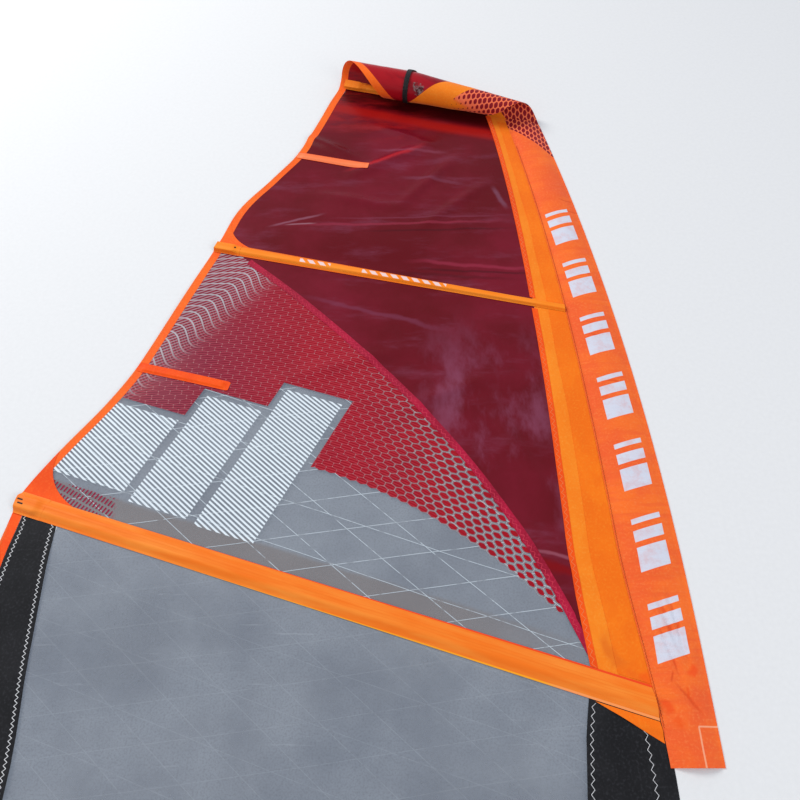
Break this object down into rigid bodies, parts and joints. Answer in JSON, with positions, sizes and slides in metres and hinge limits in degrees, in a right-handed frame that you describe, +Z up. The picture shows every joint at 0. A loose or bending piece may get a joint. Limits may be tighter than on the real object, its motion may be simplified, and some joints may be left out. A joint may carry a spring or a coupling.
{
  "type": "windsurf sail",
  "caption": "Windsurf sail laid flat with its head rolled up and strapped, with mast sleeve, battens, tensioners, film and cloth panels, clew eyelets and tack fairing.",
  "frame": {"origin": "underside of the tack fairing, below the mast base", "axes": "+Y from the tack to the head along the mast line, +X towards the luff's front edge, +Z up from the ground"},
  "size_m": [1.782, 4.1012, 0.1227],
  "materials": {
    "coral": "coral orange woven polyester",
    "amber": "amber orange woven polyester",
    "red_orange": "red orange seam tape with zigzag stitching",
    "film_red": "glossy wrinkled film",
    "ply": "printed scrim laminate",
    "window": "clear film with scrim threads",
    "crimson": "crimson seam band",
    "black": "black reinforcement cloth",
    "batten": "smooth fibre rod",
    "plastic": "moulded",
    "steel": "bright",
    "foam": "padded cover cloth on thin foam"
  },
  "bodies": {
    "sail": {"batten_pocket_1": "amber", "batten_pocket_2": "amber", "batten_pocket_3": "amber", "batten_pocket_4": "amber", "boom_luff_patch": "black", "clew_eyelet_1": "steel", "clew_eyelet_2": "steel", "clew_patch": "black", "diagonal_seam_tape": "crimson", "fairing_base": "foam", "film_panel_middle": "film_red", "film_panel_upper": "film_red", "foot_panel": "coral", "foot_tape": "amber", "head_cap": "plastic", "head_webbing": "black", "leech_tape_lower": "amber", "leech_tape_upper": "amber", "luff_panel_lower": "amber", "luff_panel_upper": "amber", "luff_seam_tape_lower": "red_orange", "luff_seam_tape_upper": "red_orange", "mini_batten_1": "batten", "mini_batten_2": "batten", "mini_pocket_1": "coral", "mini_pocket_2": "coral", "ply_panel_leech": "ply", "roll_film": "film_red", "roll_leech_tape": "amber", "roll_luff_panel": "amber", "roll_sleeve": "coral", "roll_strap": "black", "sleeve_lower_back": "coral", "sleeve_lower_face": "coral", "sleeve_upper_back": "coral", "sleeve_upper_face": "coral", "tack_patch": "black", "tack_webbing": "black", "tensioner_housing_1": "plastic", "tensioner_housing_2": "plastic", "tensioner_housing_3": "plastic", "tensioner_housing_4": "plastic", "window_panel": "window"},
    "batten_1": {"batten_1": "batten"},
    "tensioner_screw_1": {"tensioner_screw_1": "steel"},
    "batten_2": {"batten_2": "batten"},
    "tensioner_screw_2": {"tensioner_screw_2": "steel"},
    "batten_3": {"batten_3": "batten"},
    "tensioner_screw_3": {"tensioner_screw_3": "steel"},
    "batten_4": {"batten_4": "batten"},
    "tensioner_screw_4": {"tensioner_screw_4": "steel"},
    "fairing_flap": {"fairing_flap": "foam"},
    "pulley_block": {"pulley_frame": "steel", "pulley_axle": "steel"},
    "pulley_sheave_1": {"pulley_sheave_1": "plastic"},
    "pulley_sheave_2": {"pulley_sheave_2": "plastic"},
    "pulley_sheave_3": {"pulley_sheave_3": "plastic"}
  },
  "joints": [
    {"name": "batten_slide_1", "type": "slide", "parent": "sail", "child": "batten_1", "axis": [0.9824, -0.1867, 0], "range_m": [0, 0.012]},
    {"name": "screw_turn_1", "type": "hinge", "parent": "sail", "child": "tensioner_screw_1", "pos_m": [-1.4327, 0.87221, 0.0047], "axis": [0.9824, -0.1867, 0], "range_deg": [0, 1440]},
    {"name": "batten_slide_2", "type": "slide", "parent": "sail", "child": "batten_2", "axis": [0.9557, -0.2944, 0], "range_m": [0, 0.012]},
    {"name": "screw_turn_2", "type": "hinge", "parent": "sail", "child": "tensioner_screw_2", "pos_m": [-1.59822, 2.23525, 0.0047], "axis": [0.9557, -0.2944, 0], "range_deg": [0, 1440]},
    {"name": "batten_slide_3", "type": "slide", "parent": "sail", "child": "batten_3", "axis": [0.9754, -0.2204, 0], "range_m": [0, 0.012]},
    {"name": "screw_turn_3", "type": "hinge", "parent": "sail", "child": "tensioner_screw_3", "pos_m": [-1.19049, 3.11905, 0.0047], "axis": [0.9754, -0.2204, 0], "range_deg": [0, 1440]},
    {"name": "batten_slide_4", "type": "slide", "parent": "sail", "child": "batten_4", "axis": [0.9631, -0.2693, -0.0024], "range_m": [0, 0.012]},
    {"name": "screw_turn_4", "type": "hinge", "parent": "sail", "child": "tensioner_screw_4", "pos_m": [-0.80249, 3.92699, 0.01467], "axis": [0.9631, -0.2693, -0.0024], "range_deg": [0, 1440]},
    {"name": "fairing_flap_lift", "type": "hinge", "parent": "sail", "child": "fairing_flap", "pos_m": [0.075, -0.02, 0.0033], "axis": [0, 1, 0], "range_deg": [0, 110]},
    {"name": "pulley_block_tilt", "type": "hinge", "parent": "sail", "child": "pulley_block", "pos_m": [0, 0.016, 0.0048], "axis": [-1, 0, 0], "range_deg": [0, 15]},
    {"name": "sheave_spin_1", "type": "hinge", "parent": "pulley_block", "child": "pulley_sheave_1", "pos_m": [0, 0, 0.0205], "axis": [1, 0, 0], "continuous": true},
    {"name": "sheave_spin_2", "type": "hinge", "parent": "pulley_block", "child": "pulley_sheave_2", "pos_m": [0, 0, 0.0205], "axis": [1, 0, 0], "continuous": true},
    {"name": "sheave_spin_3", "type": "hinge", "parent": "pulley_block", "child": "pulley_sheave_3", "pos_m": [0, 0, 0.0205], "axis": [1, 0, 0], "continuous": true}
  ],
  "couplings": [
    {"joint": "screw_turn_1", "follows": "batten_slide_1", "rad_per_m": 2094},
    {"joint": "screw_turn_2", "follows": "batten_slide_2", "rad_per_m": 2094},
    {"joint": "screw_turn_3", "follows": "batten_slide_3", "rad_per_m": 2094},
    {"joint": "screw_turn_4", "follows": "batten_slide_4", "rad_per_m": 2094}
  ]
}
